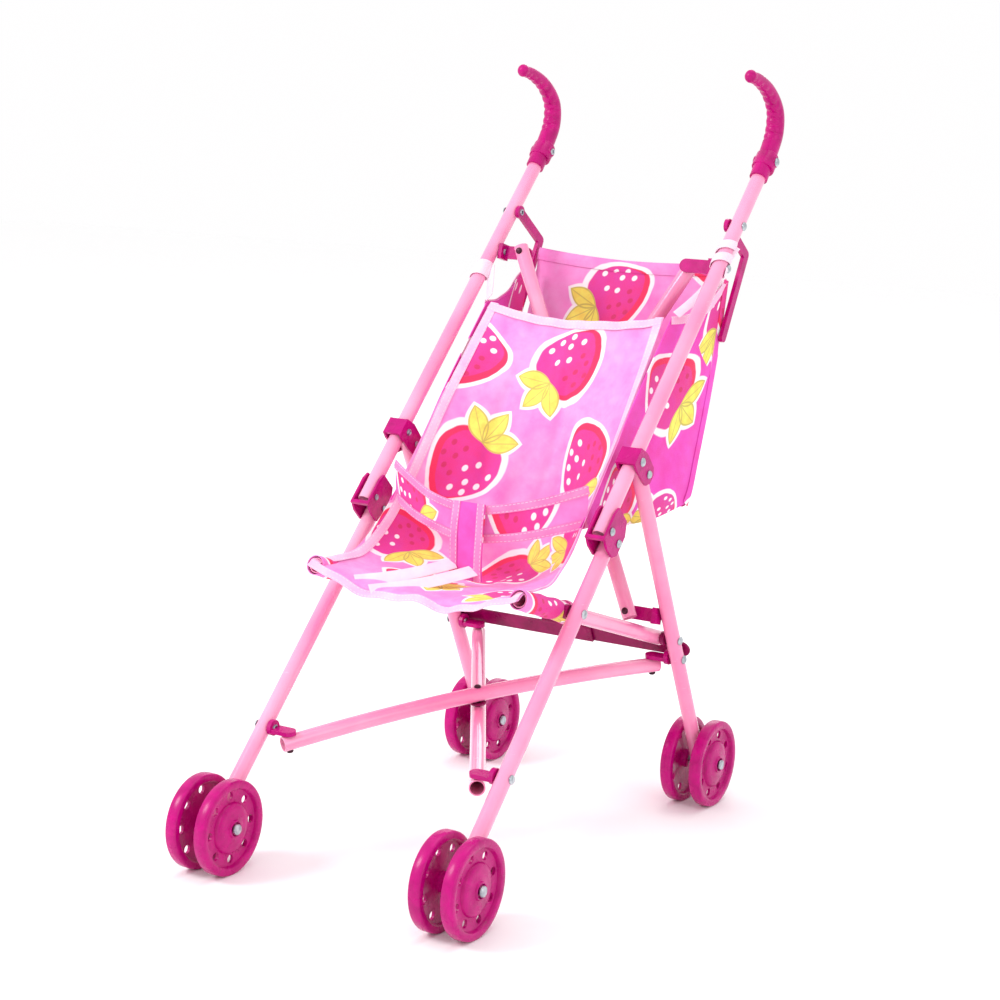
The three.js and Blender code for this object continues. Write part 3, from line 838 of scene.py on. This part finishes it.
# ---- wheels ----
WHEEL_SECTION = [(2.3, -4.6), (5.6, -4.8), (6.6, -4.2), (7.2, -1.2), (9.0, -0.9), (25.6, -0.9),
                 (26.6, -1.4), (27.4, -4.0), (28.2, -4.6), (31.6, -4.6), (32.5, -4.1), (32.95, -3.2),
                 (33.0, 0.0), (32.95, 3.2), (32.5, 4.1), (31.7, 4.6), (28.2, 4.6), (27.4, 4.2),
                 (26.9, 3.2), (26.4, 1.6), (25.8, 1.2), (18.6, 1.2), (17.9, 1.5), (17.2, 3.2),
                 (16.2, 4.0), (12.0, 4.5), (7.0, 4.9), (6.4, 5.2), (6.0, 6.2), (5.4, 6.5),
                 (4.9, 6.3), (4.6, 4.6), (2.3, 4.6)]


WHEEL_SIDES = 72
HOLES, HOLE_R, HOLES_AT = 8, 3.0, 22.2


def wheel_template():
    """One disc about +X, outer face towards +X, with a ring of round holes."""
    n = len(WHEEL_SECTION)
    points, faces = [], []
    for i in range(WHEEL_SIDES):
        turn = 2 * math.pi * i / WHEEL_SIDES
        points += [Vector((h * MM, r * MM * math.cos(turn), r * MM * math.sin(turn)))
                   for r, h in WHEEL_SECTION]
        m = (i + 1) % WHEEL_SIDES
        for j in range(n):
            k = (j + 1) % n
            faces.append((i * n + k, i * n + j, m * n + j, m * n + k))
    disc = new_mesh("wheel_disc", points, faces, MOULD, 28)
    cutters = []
    for k in range(HOLES):
        turn = 2 * math.pi * k / HOLES
        place = Vector((0, math.cos(turn), math.sin(turn))) * HOLES_AT * MM
        cutters.append(lathe(f"hole{k}", [(0, -4), (HOLE_R, -4), (HOLE_R, 4), (0, 4)], place,
                             (1, 0, 0), MOULD, 20))
    cutter = join("holes", cutters)
    cut = disc.modifiers.new("holes", "BOOLEAN")
    cut.operation = "DIFFERENCE"
    cut.solver = "EXACT"
    cut.object = cutter
    bpy.context.view_layer.update()
    solved = disc.evaluated_get(bpy.context.evaluated_depsgraph_get())
    whole = link("wheel_cut", bpy.data.meshes.new_from_object(solved))
    bpy.data.objects.remove(cutter)
    bpy.data.objects.remove(disc)
    return join("wheel_template", [whole])


TEMPLATE = wheel_template()
HUBS = {"front": on_handle(PIVOT_OFFSET, -FRONT_LEG), "rear": on_rear_leg(REAR_LEG)}
for end, hub in HUBS.items():
    for side_name, side in SIDES:
        for place_name, outward in (("outer", side), ("inner", -side)):
            name = f"{end}_{side_name}_{place_name}_wheel"
            data = TEMPLATE.data.copy()
            spin = Matrix.Rotation(math.radians({"front": 9, "rear": 21}[end] + 7 * side), 4, "X")
            flip = Matrix.Rotation(math.pi, 4, "Z") if outward < 0 else Matrix.Identity(4)
            data.transform(Matrix.Translation(at(side * SIDE_X + outward * 12, hub)) @ spin @ flip)
            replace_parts(ride(link(name + "_disc", data), name), name)
bpy.data.objects.remove(TEMPLATE)


# ---- the seat: one sling of printed cloth from the top hem to the front hem ----
# half width, y and z of the side edge, y and z of the middle, at equal steps along the sling
SLING = [(73, 131, 374, 128, 366), (76, 103, 341, 114, 331), (78, 71, 306, 99, 295),
         (78.5, 43, 273, 84, 259), (79, 19, 246, 69, 224), (80, -5, 222, 50, 196),
         (82, -30, 205, 15, 186), (84, -54, 203, -28, 188), (85, -76, 204, -68, 190),
         (84, -82, 201, -78, 185)]


def ripple(u, t):
    """Soft folds of the sling in millimetres along its normal."""
    edge = 1 - u * u
    fold = 1.7 * math.sin(8.0 * u + 6.0 * t + 1.3) * math.exp(-((t - 0.5) / 0.26) ** 2)
    fold += 1.3 * math.sin(15.0 * t - 5.0 * u + 0.4) * math.exp(-((abs(u) - 0.78) / 0.22) ** 2)
    fold += 0.9 * math.sin(23.0 * t + 8.0 * u) * math.sin(5.0 * u - 2.0 * t)
    fold += 1.6 * math.sin(5.2 * u - 0.8) * math.exp(-(t / 0.10) ** 2)
    fold += 3.4 * math.sin(7.4 * u + 1.9) * smooth_step(0.84, 1.0, t)
    fold += 1.6 * math.sin(17.0 * u + 0.6) * smooth_step(0.88, 1.0, t)
    fold += 0.8 * math.sin(21.0 * u + 14.0 * t) * math.sin(9.0 * t + 1.0)
    crease = 0.0
    for depth, middle, lean, width, centre, reach in (
            (-3.6, 0.16, 0.10, 0.06, 0.42, 0.15), (-2.8, -0.30, -0.22, 0.06, 0.30, 0.13),
            (-3.0, 0.52, 0.30, 0.07, 0.52, 0.12), (-2.4, -0.05, 0.16, 0.05, 0.22, 0.12)):
        away = (u - middle - lean * math.sin(6 * t)) / width
        crease += depth * math.exp(-away * away) * math.exp(-((t - centre) / reach) ** 2)
    return (fold + crease) * (0.25 + 0.75 * edge)


def sling_point(u, t):
    """u runs from -1 to 1 across the sling, t from 0 at its top hem to 1 at its front hem."""
    half, edge_y, edge_z, middle_y, middle_z = spline(SLING, t)
    sag = 1 - abs(u) ** 2.4
    y = edge_y * (1 - sag) + middle_y * sag
    z = edge_z * (1 - sag) + middle_z * sag
    return np.array([u * half, y, z])


def facing(normals, way):
    """The normals, all turned over if the middle one points away from way."""
    middle = normals[tuple(n // 2 for n in normals.shape[:-1])]
    return normals if middle @ np.array(way, float) > 0 else -normals


def sheet_grid(point, nu, nv, wrinkle=None, way=None):
    """Points in millimetres, nv + 1 rows of nu + 1, pushed along their normals by wrinkle, and the
    normals on the side of the sheet that faces way."""
    def sample(function):
        return np.array([[function(-1 + 2 * i / nu, j / nv) for i in range(nu + 1)]
                         for j in range(nv + 1)])

    base = sample(point)
    du = np.gradient(base, axis=1)
    dv = np.gradient(base, axis=0)
    normal = np.cross(dv, du)
    normal /= np.linalg.norm(normal, axis=2, keepdims=True) + 1e-9
    if wrinkle:
        base = base + normal * sample(wrinkle)[:, :, None]
    return base, facing(normal, way) if way else normal


CLOTH, RIBBON_THICK = 0.7, 0.5      # thicknesses in millimetres
RIBBON_LANES, RIBBON_CROWN = 4, 0.25


def run_of(path):
    """The length run at each point of a path."""
    return np.concatenate([[0], np.linalg.norm(np.diff(path, axis=0), axis=1).cumsum()])


def arc_uv(grid):
    """UV in millimetres: across from the middle column, along from the first row."""
    across = np.linalg.norm(np.diff(grid, axis=1), axis=2).cumsum(axis=1)
    across = np.concatenate([np.zeros((grid.shape[0], 1)), across], axis=1)
    across -= across[:, grid.shape[1] // 2][:, None]
    along = run_of(grid[:, grid.shape[1] // 2])
    return across, np.repeat(along[:, None], grid.shape[1], axis=1)


def thick_sheet(name, grid, normal, material, thickness=CLOTH, uv=None):
    """A closed thin sheet centred on a grid; lengths in millimetres."""
    rows, cols = grid.shape[:2]
    lift = normal * (thickness / 2)
    both = np.concatenate([(grid + lift).reshape(-1, 3), (grid - lift).reshape(-1, 3)])
    flat = list(zip(*(axis.ravel() for axis in (uv or arc_uv(grid)))))
    faces = []

    def quad(*corners):
        faces.append(tuple(layer * rows * cols + j * cols + i for j, i, layer in corners))

    for j in range(rows - 1):
        for i in range(cols - 1):
            quad((j, i, 0), (j + 1, i, 0), (j + 1, i + 1, 0), (j, i + 1, 0))
            quad((j, i, 1), (j, i + 1, 1), (j + 1, i + 1, 1), (j + 1, i, 1))
    rim = [(0, i) for i in range(cols)] + [(j, cols - 1) for j in range(1, rows)]
    rim += [(rows - 1, i) for i in range(cols - 2, -1, -1)] + [(j, 0) for j in range(rows - 2, 0, -1)]
    for (j, i), (j2, i2) in zip(rim, rim[1:] + rim[:1]):
        quad((j, i, 0), (j2, i2, 0), (j2, i2, 1), (j, i, 1))
    return new_mesh(name, [world(*p) for p in both], faces, material, 60.0, flat + flat)


def soft(obj, slot="print_cloth"):
    """Fabric rides with the seat, on its own copy of its mesh."""
    ride(obj, "seat")
    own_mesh(obj)
    return obj


def ribbon(name, path, normal, width, material, lift=0.0, thickness=RIBBON_THICK, print_at=None):
    """A ribbon along a line of points, lifted off it along the normals; lengths in millimetres.
    print_at places it on a print: (x, y, turned), turned when it runs along the print's x."""
    path, normal = np.array(path, float), np.array(normal, float)
    across = np.cross(np.gradient(path, axis=0), normal)
    across = across / np.linalg.norm(across, axis=1, keepdims=True)
    path = path + normal * lift
    normal = normal / np.linalg.norm(normal, axis=1, keepdims=True)
    offs = np.linspace(-0.5, 0.5, RIBBON_LANES + 1)
    grid = path[:, None, :] + across[:, None, :] * (offs * width)[None, :, None]
    crown = (1 - (offs * 2) ** 2) * RIBBON_CROWN
    grid = grid + normal[:, None, :] * crown[None, :, None]
    x, y = np.meshgrid(offs * width, run_of(path))
    if print_at:
        x, y = (y, x) if print_at[2] else (x, y)
        x, y = x + print_at[0], y + print_at[1]
    up = np.broadcast_to(normal[:, None, :], grid.shape)
    return thick_sheet(name, grid, up, material, thickness, (x, y))


SEAT_BERRIES = [(-75, 40, 29, 176), (7, 32, 29, 128), (-59, 124, 31, -62), (47, 106, 31, 60),
                (-84, 194, 27, 44), (8, 208, 27, -52), (72, 168, 24, 150), (-32, 262, 27, 20),
                (60, 272, 27, 120)]
SEAT_PRINT = print_cloth("seat_print", SEAT_BERRIES)
NU, NV = 96, 200
seat_grid, seat_normal = sheet_grid(sling_point, NU, NV, ripple, (0, -1, 1))
seat = thick_sheet("seat_sling", seat_grid, seat_normal, SEAT_PRINT)
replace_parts(seat, "seat_back", "seat_base")
soft(seat)


def edge_ribbon(name, rows, cols, width, lift=0.9):
    """A ribbon sewn on the sling along a row or a column of its grid."""
    return soft(ribbon(name, seat_grid[rows, cols], seat_normal[rows, cols], width, RIBBON, lift),
                "ribbon")


trims = [edge_ribbon("left_seat_binding", slice(None), 2, 7.0),
         edge_ribbon("right_seat_binding", slice(None), NU - 2, 7.0),
         edge_ribbon("top_seat_binding", 2, slice(None), 6.5, 1.3),
         edge_ribbon("front_seat_binding", NV - 2, slice(None), 6.5, 1.3)]


# ---- waist belt and crotch strap ----
BELT_BERRIES = [(40, 2, 29, -80), (-64, 12, 22, 30)]
# painted shade: the belt's ground is mixed 0.35 of the way to the shaded colours
BELT_PRINT = print_cloth("belt_print", BELT_BERRIES, 0.35)


BELT_HALF, BELT_TALL = 79.5, 28
BELT_END = (17, 236)        # (y, z) of the lower edge where the belt is sewn on


def belt_point(u, t):
    """u runs across the seat, t down the belt, which bows forward and sags in the middle."""
    drop = 1 - abs(u) ** 1.7
    y = BELT_END[0] - 27 * drop + 3.0 * (t - 0.5) * drop
    z = BELT_END[1] - 17 * drop + (BELT_TALL - 3 * drop) * (1 - t)
    return np.array([u * BELT_HALF, y, z])


belt_grid, belt_normal = sheet_grid(belt_point, 80, 12,
                                    lambda u, t: 0.5 * math.sin(11 * u + 3 * t), (0, -1, 0))
belt = thick_sheet("waist_belt_cloth", belt_grid, belt_normal, BELT_PRINT)
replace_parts(belt, "waist_belt")
soft(belt)
belt_trims = [soft(ribbon(f"belt_{label}_binding", belt_grid[row], belt_normal[row], 6.5,
                          BELT_RIBBON, 0.8), "ribbon")
              for label, row in (("upper", 1), ("lower", 11))]

STRAP_BERRIES = [(30, 20, 20, 20)]
# painted shade: the strap's ground is mixed 0.85 of the way to the shaded colours
STRAP_PRINT = print_cloth("strap_print", STRAP_BERRIES, 0.85)


STRAP_TOP = (2, -13, 247)
STRAP_HALF, STRAP_LONG = 13.5, 55


def strap_point(u, t):
    """u runs across the strap, t down it from the belt to the seat pan."""
    x, y, z = STRAP_TOP
    return np.array([x + u * STRAP_HALF, y - 1.5 * t - 1.6 * math.sin(math.pi * t), z - STRAP_LONG * t])


strap_grid, strap_normal = sheet_grid(strap_point, 16, 30,
                                      lambda u, t: 0.4 * math.sin(8 * t + 2 * u), (0, -1, 0))
strap = thick_sheet("crotch_strap_cloth", strap_grid, strap_normal, STRAP_PRINT)
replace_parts(strap, "crotch_strap")
soft(strap)
strap_trims = [soft(ribbon(f"strap_{label}_binding", strap_grid[:, column], strap_normal[:, column],
                           6.0, BELT_RIBBON, 0.8), "ribbon")
               for label, column in (("left", 2), ("right", 14))]


# two loose ribbon ends that lie on the seat pan, from the foot of the strap to the front hem
PAN_STEPS = 24
for label, foot, tip in (("left", (-7, -15, 203), (-52, -72, 193)),
                         ("right", (10, -15, 200), (-37, -76, 189))):
    line = [np.array(foot) * (1 - k / PAN_STEPS) + np.array(tip) * (k / PAN_STEPS)
            - np.array((0, 0, 2.2 * math.sin(math.pi * k / PAN_STEPS))) for k in range(PAN_STEPS + 1)]
    pan_ribbon = soft(ribbon(f"pan_ribbon_{label}", line, [(0.35, -0.75, 0.8)] * len(line), 9.5,
                             WHITE_RIBBON), "ribbon")


# ---- side hems of the sling, sleeves round the front of the seat rails ----
# painted shade: the sleeves' ground is mixed 0.25 of the way to the shaded colours
SLEEVE_PRINT = print_cloth("sleeve_print", [(10, 30, 24, 60), (-14, 66, 24, 200)], 0.25)


SLEEVE_START, SLEEVE_LONG, SLEEVE_R = -56.5, 70, 6.7


def sleeve_point(side):
    """u runs round the rail, t rearwards along it; the sleeve widens a little and ripples."""
    def point(u, t):
        turn = math.pi * u * 0.999
        r = SLEEVE_R + 0.4 * math.sin(3 * turn + 20 * t) * math.sin(math.pi * t) + 0.5 * t
        y, z = on_rail(SLEEVE_START + SLEEVE_LONG * t)
        y -= RAIL_WAY[1] * math.cos(turn) * r
        z += RAIL_WAY[0] * math.cos(turn) * r
        return np.array([side * RAIL_X + math.sin(turn) * r, y, z])
    return point


for side_name, side in SIDES:
    grid, normal = sheet_grid(sleeve_point(side), 40, 36)
    sleeve = thick_sheet(f"{side_name}_rail_sleeve", grid, normal, SLEEVE_PRINT, 0.6)
    ride(sleeve, f"{side_name}_seat_rail")
    band = ribbon(f"{side_name}_sleeve_binding", grid[-3], facing(normal[-3], (0, 0.3, 1)), 5.5,
                  BELT_RIBBON, 0.7)
    ride(band, f"{side_name}_seat_rail")


# ---- rear bag: rear panel, pouch floor and front, and a gusset on each side ----
BAG_BERRIES = [(-8, 26, 30, 150), (70, -14, 30, 250), (44, 110, 29, 40), (-62, 116, 28, 100),
               (6, 172, 28, 250), (72, 190, 26, 20), (-34, 240, 28, 150)]
# painted shade: the pouch's ground is mixed 0.15 of the way to the shaded colours
BAG_PRINT = print_cloth("bag_print", BAG_BERRIES, 0.15)
POUCH_ROUTE = [(214, 412), (207, 378), (194, 337), (181, 292), (171, 260), (166, 240), (159, 233),
               (151, 237), (153, 262), (158, 292), (163, 318), (167, 338)]


POUCH_HALF = 87.0


def pouch_point(u, t):
    """u runs across the bag, t down the rear panel, under the floor and up the front wall."""
    y, z = spline(POUCH_ROUTE, t)
    half = POUCH_HALF - 2.5 * smooth_step(0.3, 0.6, t) - 2.0 * smooth_step(0.6, 1.0, t)
    top = math.exp(-(t / 0.06) ** 2)
    y += (14 * (-u) * 0.8 + 4 * (1 - u * u)) * math.exp(-(t / 0.25) ** 2)
    z -= 5.0 * (1 - u * u) * top
    y += 5 * (1 - u * u) * math.sin(math.pi * min(t / 0.5, 1.0))
    return np.array([u * half, y, z])


pouch_grid, pouch_normal = sheet_grid(pouch_point, 60, 150, lambda u, t: (
    0.9 * math.sin(6 * u + 9 * t) + 0.6 * math.sin(15 * t - 5 * u)) * (1 - u * u))
pouch = thick_sheet("bag_pouch", pouch_grid, pouch_normal, BAG_PRINT)
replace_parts(pouch, "rear_bag")
soft(pouch)

GUSSET_BERRIES = [(-14, 62, 34, 32), (46, 8, 30, 112), (30, 172, 26, 190), (-40, 150, 24, 60)]
# painted shade: the gusset's ground is mixed 0.95 of the way to the shaded colours
GUSSET_PRINT = print_cloth("gusset_print", GUSSET_BERRIES, 0.95)
GUSSET_FRONT = [(133, 374), (106, 345), (76, 312), (50, 280), (26, 252), (8, 236)]
GUSSET_REAR = [(206, 400), (197, 352), (185, 306), (173, 268), (166, 246), (159, 235)]
GUSSET_X = (78.5, 86.0)     # |x| at the seat's edge and at the rear panel


def gusset_point(side):
    """u runs from the seat's edge to the rear panel, t down the bag; the seat is narrower."""
    def point(u, t):
        front, rear = spline(GUSSET_FRONT, t), spline(GUSSET_REAR, t)
        share = (u + 1) / 2
        y, z = front * (1 - share) + rear * share
        z -= 9 * math.sin(math.pi * share) * (1 - t) + 6 * math.sin(math.pi * share) * t
        x = GUSSET_X[0] + (GUSSET_X[1] - GUSSET_X[0]) * smooth_step(0.0, 0.85, share)
        return np.array([side * x, y, z])
    return point


for side_name, side in SIDES:
    grid, normal = sheet_grid(gusset_point(side), 50, 80, lambda u, t: (
        0.7 * math.sin(7 * u + 6 * t) * (1 - u * u)), (side, 0, 0))
    gusset = thick_sheet(f"{side_name}_bag_gusset", grid, normal, GUSSET_PRINT)
    soft(gusset)
    hem = soft(ribbon(f"{side_name}_bag_hem", grid[:, -2], normal[:, -2], 8.0, GUSSET_PRINT, 0.8,
                      print_at=(57, 0, False)))
    top = soft(ribbon(f"{side_name}_gusset_binding", grid[1], normal[1], 6.0, RIBBON, 0.8), "ribbon")
hem = soft(ribbon("bag_top_hem", pouch_grid[2], facing(pouch_normal[2], (0, -1, 0)), 9.0,
                  BAG_PRINT, 0.9, print_at=(-88, 3, True)))


# ---- ties: white ribbons round the handle tubes, from the corners of the cloth ----
TIE_R = 6.6
TIE_STEPS, TAIL_STEPS = 72, 16


def spiral_tie(name, side, up_at, turns, drop, tail):
    """A ribbon wound round a handle tube, then a tail that runs down to the cloth."""
    route, ups = [], []
    for s in (k / TIE_STEPS for k in range(TIE_STEPS + 1)):
        turn = 2 * math.pi * turns * s + (0.0 if side > 0 else math.pi)
        up = up_at + drop * (s - 0.5)
        y, z = on_handle(math.sin(turn) * TIE_R, up)
        x = side * SIDE_X + math.cos(turn) * TIE_R
        middle_y, middle_z = on_handle(0, up)
        route.append((x, y, z))
        ups.append((x - side * SIDE_X, y - middle_y, z - middle_z))
    line = []
    for s in (k / TAIL_STEPS for k in range(TAIL_STEPS + 1)):
        p = np.array(route[-1]) * (1 - s) + np.array(tail) * s
        line.append(p - np.array((0, 0, 5.0 * math.sin(math.pi * s))))
    normals = [(0.25 * side, -0.9, 0.4)] * len(line)
    return join(name, [ribbon(name, route, ups, 7.0, WHITE_RIBBON, thickness=0.6),
                       ribbon(name + "_tail", line, normals, 6.5, WHITE_RIBBON, thickness=0.6)])


for side_name, side, up_at, turns, drop, tail in (
        ("left", -1, 216, 1.5, 10, (-75, 130, 377)),
        ("right", 1, 246, 2.0, 24, (80, 137, 376))):
    tie = spiral_tie(f"{side_name}_tie_ribbon", side, up_at, turns, drop, tail)
    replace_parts(ride(tie, f"{side_name}_handle"), f"{side_name}_tie")
